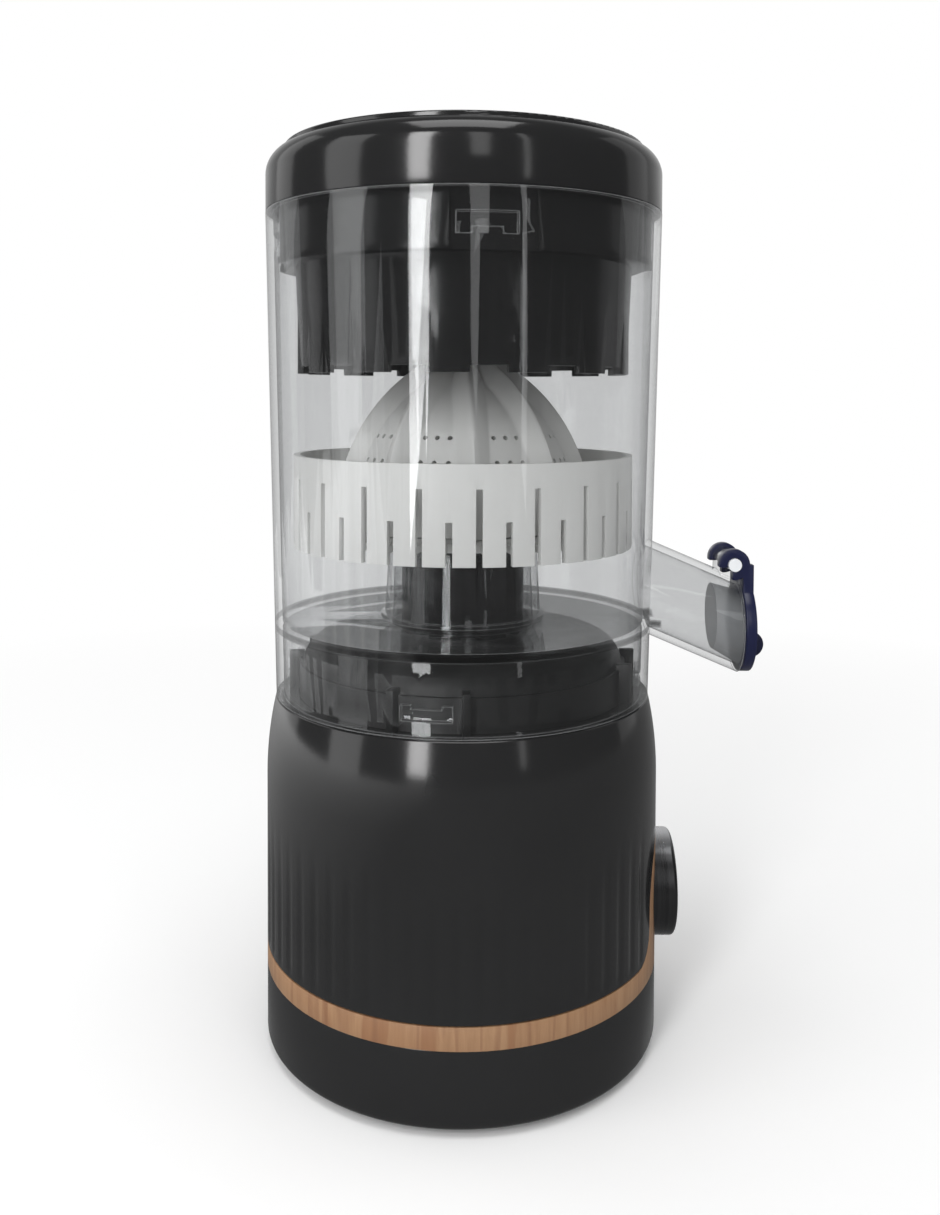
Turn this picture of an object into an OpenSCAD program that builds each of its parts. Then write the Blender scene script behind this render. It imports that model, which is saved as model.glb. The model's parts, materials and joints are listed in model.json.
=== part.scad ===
// Cordless citrus press juicer.
// Z points up, the spout and the button point along +X, and the origin lies on the upright axis
// at the face of the foot ring. All sizes are in millimetres.

/* [Base] */
// Outer radius of the base housing
base_r = 57.4; // [55:0.2:60]
// Wall of the moulded housings
shell_wall = 2.4; // [2:0.1:3]
// Height that the foot ring lifts the base
foot_h = 1.5; // [1:0.1:3]
// Height of the lower shell, under the wooden band
bowl_h = 21; // [18:0.5:26]
// Height of the wooden band
band_h = 6.3; // [5:0.1:9]
// Height of the upper housing, from the band to the ledge that carries the cup
housing_h = 71.4; // [68:0.2:76]
// Radius of the arc that draws the shoulder in
shoulder_arc_r = 98.7; // [90:1:115]
// Height of the drawn-in shoulder
shoulder_h = 22.7; // [18:0.5:24]
// Thickness of the wooden band
band_t = 2.2; // [1.6:0.1:2.6]
// Radius of the wooden arch round the button
arch_r = 21.5; // [20:0.5:23]
// Radius of the two fillets at the foot of the arch
arch_fillet_r = 8.5; // [6:0.5:10]
// Number of flutes that a full turn of the base would have
flute_count = 60; // [48:4:60]
// Radius of the cutter that makes a flute
flute_r = 2.9; // [2.2:0.1:2.9]
// Depth of a flute at its foot
flute_depth = 0.6; // [0.4:0.1:0.8]
// Length of the straight part of a flute
flute_h = 34; // [26:1:38]

/* [Button] */
// Diameter of the button
button_d = 30.3; // [26:0.1:32]
// Height of the button's axis above the band
button_rise = 12.8; // [12:0.2:16]
// How far the button stands out of the housing
button_proud = 5.1; // [4:0.1:7]
// Travel of the button
button_travel = 1.5; // [1:0.1:2.5]

/* [Drive] */
// How far the dome that the cup stands over lies inside the cup's outside
deck_inset = 6.75; // [5.75:0.05:8]
// Height of the dome above the ledge
deck_h = 16.8; // [15:0.2:18]
// Radius of the drive hub at its foot
hub_r = 18.1; // [17:0.1:18.6]
// Radius of the splined neck of the drive hub
hub_neck_r = 14.9; // [14:0.1:15.4]
// Number of splines of the drive hub
spline_count = 8; // [6:1:8]
// Radius of the grooves of the splines
spline_r = 2.2; // [1.8:0.1:2.4]
// Teeth of the two pinions
pinion_teeth = 12; // [10:1:14]
// Teeth of a large wheel for each tooth of its pinion
stage_ratio = 4; // [3:1:4]
// Module of the first gear stage
module_1 = 0.8; // [0.7:0.05:0.8]
// Module of the second gear stage
module_2 = 1; // [0.9:0.05:1]
// Radius of the motor
motor_r = 16; // [14:0.5:17]
// Length of the motor
motor_h = 46; // [38:1:48]

/* [Cup] */
// How far the foot of the cup lies inside the base's outside
cup_inset = 2.65; // [2:0.05:3]
// How much wider the cup is at its rim than at its foot
cup_flare = 3; // [2.8:0.05:3.6]
// Height of the clear cup
cup_h = 138.6; // [132:0.2:145]
// Wall of the clear cup
cup_wall = 2.2; // [1.8:0.1:2.4]
// Height of the cup's floor above its foot
cup_floor_h = 21.3; // [21:0.1:24]
// Outer radius of the clear tube at the floor
tube_foot_r = 23; // [22.4:0.1:24]
// Outer radius of the clear tube at its top
tube_top_r = 21.8; // [21.2:0.1:22.2]
// Height of the clear tube above the floor
tube_h = 24.2; // [22:0.2:26]

/* [Spout] */
// Outer radius of the spout
spout_r = 13; // [11.5:0.1:13.5]
// Wall of the spout
spout_wall = 2; // [1.6:0.1:2.2]
// Slope of the spout below level, in degrees
spout_slope = 23; // [18:1:26]
// How far the spout's mouth lies outside the foot of the cup
mouth_reach = 26.65; // [24:0.05:29]
// Height of the spout's centre above the cup's floor, at the cup's wall
spout_rise = 8.4; // [8:0.2:10]
// Radius of the hinge pin of the flap
pin_r = 1.9; // [1.5:0.1:2.1]
// Thickness of the flap
flap_t = 3; // [2.4:0.1:3.6]

/* [Strainer and reamer] */
// How far the strainer lies inside the foot of the cup
strainer_inset = 4.95; // [4.25:0.05:6.5]
// Wall of the strainer
strainer_wall = 1.9; // [1.6:0.1:2.4]
// Height of the strainer
strainer_h = 26.4; // [24:0.2:30]
// Number of slots in the strainer, tall and short together
slot_count = 40; // [24:4:44]
// Width of a slot
slot_w = 1.8; // [1.2:0.1:2.2]
// Height of the tall slots
tall_slot_h = 20; // [17:0.5:22]
// Height of the short slots
short_slot_h = 11.5; // [9:0.5:14]
// Radius of the arc that gives the reamer its dome
reamer_arc_r = 52.2; // [50:0.2:54]
// Radius of the reamer at its base
reamer_r = 37.6; // [35:0.2:39]
// Number of ribs on the reamer
rib_count = 9; // [8:1:10]
// Share of a full turn that one rib takes, in degrees
rib_angle = 14; // [10:0.5:18]
// Depth of a rib
rib_depth = 4; // [3:0.1:4.4]
// Wall of the reamer
reamer_wall = 2.2; // [1.8:0.1:2.6]

/* [Lid] */
// How far the lid lies inside the rim of the cup
lid_inset = 0.05; // [0:0.05:0.3]
// Height of the lid without its raised disc
lid_h = 18; // [15:0.5:22]
// Radius of the rounded top edge of the lid
lid_edge_r = 7.5; // [5:0.5:9]
// Width of the lower step round the raised disc on top
disc_step = 5.2; // [5:0.1:8]
// Height of the raised disc
disc_h = 0.9; // [0.5:0.1:1.5]
// How far the press cup's top lies inside the rim of the cup
press_inset = 8.55; // [8.35:0.05:9]
// How much narrower the press cup is at its foot than at its top
press_taper = 1.3; // [1:0.1:1.6]
// Wall of the press cup
press_wall = 2.2; // [1.8:0.1:2.6]
// How far the press cup reaches below the rim of the cup
press_reach = 46; // [40:0.5:47]
// Number of teeth on the edge of the press cup
tooth_count = 14; // [12:1:16]
// Height of a tooth
tooth_h = 1.9; // [1.4:0.1:2.4]

/* [Fits] */
// Gap under a piece that lifts off
seat_gap = 0.3; // [0.2:0.05:0.4]
// Clearance round a piece that slides or turns
slip = 0.3; // [0.25:0.05:0.35]
// Clearance of a shaft in its bush
bush_gap = 0.05; // [0.03:0.01:0.08]

/* [Hidden] */

$fn = 96;
eps = 0.01;
far = 200;

// Levels of the stack, from the ground up
z_bowl = foot_h;
z_band = z_bowl + bowl_h;
z_housing = z_band + band_h;
z_ledge = z_housing + housing_h;
z_shoulder = z_ledge - shoulder_h;
z_cup = z_ledge + seat_gap;
z_floor = z_cup + cup_floor_h;
z_cup_rim = z_cup + cup_h;
z_tube = z_floor + tube_h;
z_strainer_floor = z_tube + seat_gap;
z_lid = z_cup_rim + seat_gap;
z_lid_top = z_lid + lid_h;

// Radii that follow the base
cup_foot_r = base_r - cup_inset;
cup_top_r = cup_foot_r + cup_flare;
deck_r = cup_foot_r - deck_inset;
strainer_r = cup_foot_r - strainer_inset;
mouth_x = cup_foot_r + mouth_reach;
lid_r = cup_top_r - lid_inset;
disc_r = lid_r - disc_step;
press_top_r = cup_top_r - press_inset;
press_foot_r = press_top_r - press_taper;

// Base
shoulder_c = base_r - shoulder_arc_r;
band_seat_r = base_r - band_t;
liner_r = band_seat_r - shell_wall;
ledge_t = 5;
ledge_r = shoulder_c + sqrt(pow(shoulder_arc_r, 2) - pow(shoulder_h, 2));
band_gap = 0.15;
arch_z = z_housing + button_rise;
arch_top = arch_z + arch_r;
liner_top = arch_top + 3;
flute_foot = z_housing + 2.2;
foot_in_r = base_r - 13;
foot_out_r = base_r - 7;
foot_seat = 1.2;
bowl_edge_r = 2.5;
spigot_h = 5;
boss_r = 3.6;
screw_r = 1.4;
screw_head_r = 2.6;
screw_head_h = 1.8;
housing_screw_r = base_r - 11.4;
housing_screw_angles = [40, 100, 240, 300];
housing_screw_l = 17;
boss_foot = 2;
boss_web = 2;

// Button
button_r = button_d / 2;
button_face = base_r + button_proud;
button_skirt_x = base_r - 9.9;
button_flange_r = button_r + 1.6;
guide_wall = 1.6;
guide_x = button_skirt_x - 3.4;
guide_in_r = button_flange_r + slip;
button_top_t = 2;
plate_t = 1.6;
post_r = 2.4;
post_hole_r = 3.2;
rear_ring_r = 12;
spring_r = 5;
spring_wire_r = 0.45;
spring_pitch = 0.84;
spring_x = guide_x + plate_t;
spring_length = button_face - button_top_t - button_travel - spring_x;
switch_h = 2.4;
plunger_h = 1;
plunger_r = 1.7;
switch_x = guide_x - 2.6;
post_x = switch_x + switch_h + plunger_h + button_travel + 0.05;

// Drive deck and hub
z_deck = z_ledge + deck_h;
deck_edge_r = 9;
deck_step = 0.8;
deck_step_z = z_deck - deck_edge_r + 1.4;
deck_flange_r = ledge_r - shell_wall - 0.5;
z_flange = z_ledge - ledge_t;
deck_screw_r = (deck_r + deck_flange_r) / 2 + 0.1;
deck_screw_angles = [30, 102, 174, 246, 318];
deck_boss_r = 9;
deck_boss_h = 6;
guide_rib_w = 2;
guide_rib_out = 3.2;
guide_rib_h = 11;
lug_channel = 22.8;
shaft_r = 4;
seal_r = 6.4;
seal_h = 3.2;
z_hub = z_deck + 0.6;
hub_top = z_strainer_floor + 19;
hub_neck_z = z_floor + 15.5;
hub_blend_r = hub_r - hub_neck_r;
hub_bore_r = 8.4;
hub_web = 4;
hub_socket_z = hub_top - hub_web;

// Gears: the output shaft is on the axis, the idler behind it and the motor beside the idler
pinion_1_r = module_1 * pinion_teeth / 2;
wheel_1_r = pinion_1_r * stage_ratio;
pinion_2_r = module_2 * pinion_teeth / 2;
wheel_2_r = pinion_2_r * stage_ratio;
idler_x = -(pinion_2_r + wheel_2_r);
stage_1_l = pinion_1_r + wheel_1_r;
motor_angle = 62;
motor_x = idler_x + stage_1_l * cos(motor_angle);
motor_y = stage_1_l * sin(motor_angle);
wheel_t = 5;
pinion_face = 6;
case_wall = 2;
z_case = liner_top + 1.4;
z_stage_1 = z_case + case_wall + 1;
z_stage_2 = z_stage_1 + wheel_t + 1.5;
case_inner_h = 15;
z_case_split = z_case + case_wall + case_inner_h;
case_margin = 1.8;
idler_pin_r = 2;
bush_wall = 1.5;
bush_h = 5;
motor_shaft_r = 1.5;
z_motor = z_case - motor_h;
motor_screw_r = 8;
case_screw_r = 1.1;
case_screw_head_r = 2;
ear_r = 3.4;
ear_h = 4;
case_screw_l = wheel_2_r + module_2 + case_margin + case_wall + case_screw_head_r + 0.6;
case_screw_angles = [-115, -60, 30, 78];

// Battery and board
cell_r = 9.1;
cell_l = 65;
cell_x = 0;
cell_z = z_bowl + shell_wall + 2 + cell_r + 1.4;
cell_spots = [-24, -4.8];
cradle_wall = 1.4;
board_t = 1.6;
board_x = 13.4 - base_r;
socket_w = 9;
socket_h = 3.3;
socket_shell = 0.4;
socket_z = z_bowl + 12;
socket_l = 12;
board_w = 26;
board_h = 44;
board_foot = socket_z - 4;
board_seat = 1.5;
shelf_t = 3;

// Cup
function cup_out(z) = cup_foot_r + (cup_top_r - cup_foot_r) * (z - z_cup) / cup_h;
function cup_in(z) = cup_out(z) - cup_wall;
cup_floor_t = 2.2;
tube_wall = 2;
tube_collar_r = tube_foot_r + 1.2;
lug_h = 5.5;
lug_w = 15.7;
lug_notch_w = 7.9;
lug_notch_h = 1.7;
lug_proud = 1.7;
top_lug_angle = -83.4;
foot_lug_angle = -99.7;
top_lug_z = z_cup_rim - 8.9;
foot_lug_z = z_cup + 3.8;
foot_lug_w = 13.5;
foot_lug_h = 4;
foot_lug_proud = 1.6;

// Spout and flap
spout_z = z_floor + spout_rise;
spout_bore_r = spout_r - spout_wall;
function spout_c(x) = spout_z - (x - cup_out(spout_z)) * tan(spout_slope);
mouth_z = spout_c(mouth_x);
pin_x = mouth_x - 2.3;
pin_z = spout_c(pin_x) + spout_r / cos(spout_slope) + 3.8;
pin_half_l = 9.4;
lug_half_w = 5.4;
hook_t = 3;
hook_y = lug_half_w + slip;
hook_bore_r = pin_r + 0.08;
hook_r = 4.5;
flap_x = mouth_x + 0.3;
flap_r = spout_r + 0.8;
pull_r = 3.8;
pull_half_l = 5.5;
plug_l = 7.6;
plug_from = 14;
plug_to = 34;
plug_small_r = spout_bore_r - 3;
plug_large_r = spout_bore_r - 0.2;
plug_relief_r = 7.7;

// Strainer
strainer_in_r = strainer_r - strainer_wall;
strainer_floor_t = 2;
z_strainer = z_strainer_floor - 3;
z_strainer_rim = z_strainer + strainer_h;
strainer_hole_r = hub_neck_r + 1.4;
slot_phase = -84.7;
slot_reach = 7;

// Reamer
reamer_arc_x = -14.4;
reamer_arc_z = z_strainer_floor + 5.2;
reamer_z = z_strainer_floor + strainer_floor_t + 2.4;
rib_phase = -84.5;
core_arc_r = reamer_arc_r - rib_depth;
rib_start_r = 3;
tip_r = 6.3;
tip_z = reamer_arc_z + sqrt(pow(reamer_arc_r, 2) - pow(reamer_arc_x, 2)) - tip_r + 0.3;
socket_in_r = hub_neck_r + slip;
socket_out_r = socket_in_r + 2.6;
socket_foot = z_strainer_floor + strainer_floor_t + 0.7;
socket_top = hub_top + seat_gap;
web_t = 1.6;

// Lid
press_z = z_cup_rim - press_reach;
press_flange_z = z_cup_rim - 15.5;
press_flange_t = 1.9;
skirt_r = cup_in(press_flange_z) - 0.5;
skirt_t = 3.8;
channel_depth = 2.3;
skirt_top = z_lid + 7;
crown_z = z_cup_rim - 5;
crown_t = 2.4;
tooth_duty = 13.6;
gap_phase = -81.6;
pad_proud = 0.7;
pad_h = 24;

module ring(r_out, r_in, h) {
    difference() {
        cylinder(r = r_out, h = h);
        translate([0, 0, -1]) cylinder(r = r_in, h = h + 2);
    }
}

// A piece cut from a ring between two angles either side of the X axis
module ring_piece(r_out, r_in, h, half_w) {
    intersection() {
        ring(r_out, r_in, h);
        translate([0, -half_w, 0]) cube([r_out + 1, 2 * half_w, h]);
    }
}

module around(count, phase = 0) {
    for (k = [0 : count - 1]) rotate([0, 0, phase + k * 360 / count]) children();
}

// ---------------------------------------------------------------- base

// Outline of the base in section: straight below, drawn in by an arc at the shoulder
module base_outline(inset, low, high) {
    intersection() {
        translate([0, low]) square([base_r - inset, high - low]);
        union() {
            translate([shoulder_c, z_shoulder]) circle(r = shoulder_arc_r - inset, $fn = 360);
            square([base_r - inset, z_shoulder]);
        }
    }
}

module housing_section() {
    difference() {
        base_outline(0, z_band, z_ledge);
        base_outline(shell_wall, liner_top, z_flange);
        translate([-1, 0]) square([liner_r + 1, liner_top + eps]);
        square([deck_r + slip, far]);
        translate([base_r - band_t, 0]) square([band_t + 1, z_housing]);
    }
}

// Upright round bar with round ends, which cuts one flute
module flute_cutter() {
    translate([base_r + flute_r - flute_depth, 0, flute_foot + flute_r])
        rotate_extrude($fn = 48) intersection() {
            union() {
                circle(r = flute_r);
                square([flute_r, flute_h]);
                translate([0, flute_h]) circle(r = flute_r);
            }
            translate([0, -flute_r]) square([flute_r, far]);
        }
}

// The arch of the wooden trim, seen along X, with its two fillets
module arch_outline(grow = 0) {
    r = arch_r + grow;
    fillet_r = arch_fillet_r - grow;
    foot = z_housing + grow;
    translate([0, arch_z]) circle(r = r);
    difference() {
        translate([-r - fillet_r, z_band]) square([2 * (r + fillet_r), arch_z - z_band]);
        for (side = [-1, 1])
            translate([side * (r + fillet_r), foot + fillet_r]) circle(r = fillet_r);
        for (side = [-1, 1])
            translate([side * (r + fillet_r) - fillet_r, foot + fillet_r])
                square([2 * fillet_r, far]);
    }
}

module arch_block(grow = 0) {
    rotate([90, 0, 90]) linear_extrude(height = base_r + 5) arch_outline(grow);
}

module base_housing() {
    color("#2f3032") difference() {
        union() {
            rotate_extrude() housing_section();
            for (a = housing_screw_angles)
                rotate([0, 0, a]) translate([housing_screw_r, 0, z_band + boss_foot])
                    cylinder(r = boss_r, h = liner_top - z_band - boss_foot);
            for (a = housing_screw_angles)
                rotate([0, 0, a]) translate([housing_screw_r, -boss_web / 2, z_band + boss_foot])
                    cube([liner_r + 1 - housing_screw_r, boss_web, liner_top - z_band - boss_foot]);
        }
        intersection() {
            translate([0, 0, z_band]) ring(base_r + 3, band_seat_r - band_gap, far);
            arch_block(band_gap);
        }
        on_button_axis() cylinder(r = guide_in_r + guide_wall, h = far);
        for (k = [0 : flute_count - 1])
            if (abs(k * 360 / flute_count - 180) < 153)
                rotate([0, 0, k * 360 / flute_count]) flute_cutter();
        for (a = housing_screw_angles)
            rotate([0, 0, a]) translate([housing_screw_r, 0, 0])
                cylinder(r = screw_r - 0.1, h = z_band + housing_screw_l);
        for (a = deck_screw_angles)
            rotate([0, 0, a]) translate([deck_screw_r, 0, z_flange - 1])
                cylinder(r = screw_r - 0.1, h = 4.4);
    }
}

module bowl_section() {
    difference() {
        union() {
            translate([0, z_bowl + bowl_edge_r]) square([base_r, bowl_h - bowl_edge_r]);
            translate([0, z_bowl]) square([base_r - bowl_edge_r, bowl_h]);
            translate([base_r - bowl_edge_r, z_bowl + bowl_edge_r]) circle(r = bowl_edge_r);
            translate([0, z_band - 1]) square([liner_r - slip / 2, 1 + spigot_h - 3.2]);
        }
        translate([0, z_bowl + shell_wall])
            square([liner_r - slip / 2 - shell_wall, far]);
        translate([0, z_bowl + shell_wall])
            square([base_r - shell_wall, bowl_h - shell_wall - shelf_t]);
        translate([foot_in_r, 0]) square([foot_out_r - foot_in_r, z_bowl + foot_seat]);
    }
}

module base_bowl() {
    color("#2b2c2e") difference() {
        union() {
            rotate_extrude() bowl_section();
            for (a = housing_screw_angles)
                rotate([0, 0, a]) translate([housing_screw_r, 0, z_bowl + foot_seat])
                    cylinder(r = boss_r + 0.6, h = bowl_h - foot_seat + boss_foot - slip);
            difference() {
                translate([board_x - 2, -board_w / 2 - 2, z_bowl + foot_seat])
                    cube([board_t + 4, board_w + 4, board_foot + board_seat - z_bowl - foot_seat]);
                translate([board_x, -board_w / 2, board_foot]) cube([board_t, board_w, board_h]);
            }
        }
        for (a = housing_screw_angles)
            rotate([0, 0, a]) translate([housing_screw_r, 0, 0]) {
                cylinder(r = screw_r + 0.1, h = far);
                cylinder(r = screw_head_r + 0.3, h = z_bowl + shell_wall + screw_head_h);
            }
        translate([0, 0, socket_z]) charge_opening();
        on_button_axis() cylinder(r = guide_in_r + guide_wall + slip, h = far);
    }
}

// Rounded slot that the charging plug goes into
module charge_slot(grow, from_x, to_x) {
    rotate([90, 0, -90]) translate([0, 0, from_x]) linear_extrude(height = to_x - from_x) {
        square([socket_w - socket_h, socket_h + 2 * grow], center = true);
        for (side = [-1, 1])
            translate([side * (socket_w - socket_h) / 2, 0]) circle(r = socket_h / 2 + grow);
    }
}

module charge_opening() {
    charge_slot(socket_shell + 0.15, -board_x - 14, base_r + 5);
    charge_slot(1.6, base_r - 0.8, base_r + 5);
}

module wood_trim() {
    color("#b98d5c") {
        difference() {
            intersection() {
                translate([0, 0, z_band]) ring(base_r, band_seat_r, far);
                union() {
                    translate([0, 0, z_band]) cylinder(r = base_r + 1, h = band_h - band_gap);
                    arch_block(-band_gap);
                }
            }
            on_button_axis() cylinder(r = button_r + slip, h = far);
        }
    }
}

module foot_ring() {
    color("#1c1c1d") ring(foot_out_r, foot_in_r, foot_h + foot_seat);
}

// ---------------------------------------------------------------- drive deck

module deck_dome(inset) {
    r = deck_r - inset;
    low_r = deck_r - deck_step - inset;
    edge = deck_edge_r - inset;
    square([r, deck_step_z]);
    square([low_r, z_deck - deck_edge_r]);
    translate([low_r - edge, z_deck - deck_edge_r]) circle(r = edge);
    square([low_r - edge, z_deck - inset]);
}

module deck_section() {
    difference() {
        union() {
            intersection() {
                deck_dome(0);
                translate([0, z_flange - shell_wall]) square([far, far]);
            }
            translate([0, z_flange - shell_wall]) square([deck_flange_r, shell_wall]);
        }
        difference() {
            deck_dome(shell_wall);
            translate([0, z_deck - deck_boss_h]) square([deck_boss_r, far]);
        }
        square([shaft_r + 0.6, far]);
        translate([0, z_deck - seal_h]) square([seal_r, far]);
    }
}

module drive_deck() {
    color("#262729") difference() {
        union() {
            rotate_extrude() deck_section();
            for (k = [0 : 3])
                for (side = [-1, 1])
                    rotate([0, 0, foot_lug_angle + k * 90 + side * lug_channel / 2])
                        translate([0, 0, z_ledge])
                            ring_piece(deck_r + guide_rib_out, deck_r - 1, guide_rib_h, guide_rib_w / 2);
            for (a = case_screw_angles)
                rotate([0, 0, a]) translate([case_screw_l, 0, z_case_split + case_wall])
                    cylinder(r = ear_r, h = z_deck - 1 - z_case_split - case_wall);
        }
        for (a = case_screw_angles)
            rotate([0, 0, a]) translate([case_screw_l, 0, z_case_split])
                cylinder(r = case_screw_r, h = case_wall + 9);
        for (a = deck_screw_angles)
            rotate([0, 0, a]) translate([deck_screw_r, 0, 0]) cylinder(r = screw_r + 0.1, h = z_flange + 1);
    }
}

module shaft_seal() {
    color("#3a3a3c") translate([0, 0, z_deck - seal_h]) difference() {
        cylinder(r = seal_r, h = seal_h);
        translate([0, 0, -1]) cylinder(r = shaft_r + bush_gap, h = far);
        translate([0, 0, -1]) cylinder(r = seal_r - 1.2, h = seal_h);
    }
}

module drive_hub_section() {
    difference() {
        union() {
            translate([0, z_hub]) square([hub_r, hub_neck_z - z_hub]);
            translate([0, hub_neck_z - eps]) square([hub_neck_r, hub_blend_r + eps]);
            intersection() {
                translate([hub_neck_r, hub_neck_z]) circle(r = hub_blend_r);
                translate([hub_neck_r - 1, hub_neck_z]) square([hub_blend_r + 1, hub_blend_r]);
            }
            translate([0, z_hub]) square([hub_neck_r, hub_top - z_hub - 1]);
            translate([0, z_hub]) square([hub_neck_r - 1, hub_top - z_hub]);
            translate([hub_neck_r - 1, hub_top - 1]) circle(r = 1);
        }
        translate([shaft_r + 5, z_hub - 1]) square([hub_r - shaft_r - 5 - 5.2, 13]);
        square([shaft_r, hub_socket_z]);
        square([1.35, far]);
    }
}

module drive_hub() {
    color("#1d1e20") difference() {
        rotate_extrude() drive_hub_section();
        around(spline_count, 6) {
            translate([hub_neck_r + 0.7, 0, z_hub - 1]) cylinder(r = spline_r, h = far, $fn = 48);
            translate([hub_neck_r + 0.7, -spline_r, z_hub - 1]) cube([10, 2 * spline_r, far]);
        }
        translate([0, 0, hub_top - 2]) cylinder(r = 3.2, h = far);
    }
}

module hub_screw() {
    color("silver") {
        translate([0, 0, hub_top - 2]) cylinder(r = 3, h = 1.8);
        translate([0, 0, hub_socket_z - 10]) cylinder(r = 1.25, h = hub_top - 2 - hub_socket_z + 10);
    }
}

// ---------------------------------------------------------------- gear train

// Spur gear as one outline: each tooth is a trapezium with a flat tip, thinned for backlash
module gear_outline(teeth, mod, bore_r) {
    pitch_r = teeth * mod / 2;
    root_r = pitch_r - 1.2 * mod;
    step = 360 / teeth;
    function at(r, a) = [r * cos(a), r * sin(a)];
    difference() {
        polygon([
            for (k = [0 : teeth - 1])
                for (p = [[root_r, -0.36], [pitch_r, -0.23], [pitch_r + 0.9 * mod, -0.1],
                          [pitch_r + 0.9 * mod, 0.1], [pitch_r, 0.23], [root_r, 0.36]])
                    at(p[0], (k + p[1]) * step)
        ]);
        circle(r = bore_r);
    }
}

module motor_can() {
    color("#9a9da1") translate([motor_x, motor_y, z_motor]) {
        difference() {
            cylinder(r = motor_r, h = motor_h);
            for (side = [-1, 1])
                rotate([0, 0, motor_angle]) translate([0, side * motor_screw_r, motor_h - 6])
                    cylinder(r = case_screw_r, h = far);
            translate([0, 0, 3]) cylinder(r = motor_shaft_r + bush_gap, h = far);
        }
        for (side = [-1, 1])
            rotate([0, 0, motor_angle]) translate([side * motor_screw_r - 1, -2.4, -4]) cube([2, 4.8, 4]);
    }
}

module motor_pinion() {
    color("#c9b06a") translate([motor_x, motor_y, 0]) {
        translate([0, 0, z_motor + 4]) cylinder(r = motor_shaft_r, h = z_stage_1 + 2 - z_motor - 4);
        translate([0, 0, z_stage_1 - 0.4]) linear_extrude(height = pinion_face)
            rotate([0, 0, motor_angle + 180]) gear_outline(pinion_teeth, module_1, 0.3);
    }
}

module idler_gear() {
    color("#e8e4da") translate([idler_x, 0, 0]) {
        translate([0, 0, z_stage_1]) linear_extrude(height = wheel_t)
            rotate([0, 0, motor_angle + 180 / (pinion_teeth * stage_ratio)])
                gear_outline(pinion_teeth * stage_ratio, module_1, idler_pin_r + bush_gap);
        translate([0, 0, z_stage_1 + wheel_t - eps]) linear_extrude(height = pinion_face + 1 + eps)
            gear_outline(pinion_teeth, module_2, idler_pin_r + bush_gap);
    }
}

module output_gear() {
    color("#d9d4c6") translate([0, 0, z_stage_2]) linear_extrude(height = wheel_t)
        rotate([0, 0, 180 + 180 / (pinion_teeth * stage_ratio)])
            gear_outline(pinion_teeth * stage_ratio, module_2, shaft_r);
}

module output_shaft() {
    color("silver") difference() {
        translate([0, 0, z_case - 0.5]) cylinder(r = shaft_r, h = hub_socket_z - z_case + 0.5);
        translate([0, 0, hub_socket_z - 10]) cylinder(r = 1.25, h = far);
    }
}

module shaft_bushes() {
    color("#b08d57") for (z = [z_case - 1.5, z_case_split])
        translate([0, 0, z]) ring(shaft_r + bush_gap + bush_wall, shaft_r + bush_gap, bush_h);
}

module idler_pin() {
    color("silver") translate([idler_x, 0, z_case]) cylinder(r = idler_pin_r, h = case_wall + case_inner_h + 2);
}

// Plan of the gear case: round each wheel, with ears for the screws
module case_plan(grow) {
    circle(r = wheel_2_r + module_2 + case_margin + grow);
    translate([idler_x, 0]) circle(r = wheel_1_r + module_1 + case_margin + grow);
    translate([motor_x, motor_y]) circle(r = motor_screw_r + 2.5 + grow);
}

module case_ears() {
    for (a = case_screw_angles)
        rotate(a) {
            translate([case_screw_l, 0]) circle(r = ear_r);
            translate([case_screw_l - 4.5, -ear_r]) square([4.5, 2 * ear_r]);
        }
}

module gear_case_lower() {
    color("#4a4c50") difference() {
        union() {
            translate([0, 0, z_case]) linear_extrude(height = case_wall + case_inner_h) case_plan(case_wall);
            translate([0, 0, z_case_split - ear_h]) linear_extrude(height = ear_h) case_ears();
            translate([motor_x, motor_y, z_case]) cylinder(r = motor_r, h = case_wall);
            translate([0, 0, z_case - 1.5]) cylinder(r = shaft_r + bush_wall + 3, h = 2);
        }
        translate([0, 0, z_case + case_wall]) linear_extrude(height = far) case_plan(0);
        translate([0, 0, z_case - 3]) cylinder(r = shaft_r + bush_wall + bush_gap, h = far);
        translate([idler_x, 0, z_case - 1]) cylinder(r = idler_pin_r, h = far);
        translate([motor_x, motor_y, z_case - 1]) {
            cylinder(r = motor_shaft_r + 1, h = far);
            for (side = [-1, 1])
                rotate([0, 0, motor_angle]) translate([0, side * motor_screw_r, 0])
                    cylinder(r = case_screw_r + 0.1, h = far);
        }
        for (a = case_screw_angles)
            rotate([0, 0, a]) translate([case_screw_l, 0, z_case])
                cylinder(r = case_screw_r + 0.1, h = far);
    }
}

module gear_case_upper() {
    color("#54565a") difference() {
        union() {
            translate([0, 0, z_case_split]) linear_extrude(height = case_wall) {
                case_plan(case_wall);
                case_ears();
            }
            translate([0, 0, z_case_split]) cylinder(r = shaft_r + bush_wall + 3, h = bush_h);
        }
        translate([0, 0, z_case_split - 1]) cylinder(r = shaft_r + bush_wall + bush_gap, h = far);
        translate([idler_x, 0, z_case_split - 1]) cylinder(r = idler_pin_r, h = far);
        for (a = case_screw_angles)
            rotate([0, 0, a]) translate([case_screw_l, 0, z_case_split - 1])
                cylinder(r = case_screw_r + 0.1, h = far);
    }
}

// ---------------------------------------------------------------- screws

module screw(shank_r, head_r, shank_l, head_h) {
    translate([0, 0, -head_h]) difference() {
        cylinder(r = head_r, h = head_h);
        translate([-head_r * 0.6, -0.3, -1]) cube([head_r * 1.2, 0.6, 1 + head_h * 0.4]);
        translate([-0.3, -head_r * 0.6, -1]) cube([0.6, head_r * 1.2, 1 + head_h * 0.4]);
    }
    cylinder(r = shank_r, h = shank_l);
}

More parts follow.
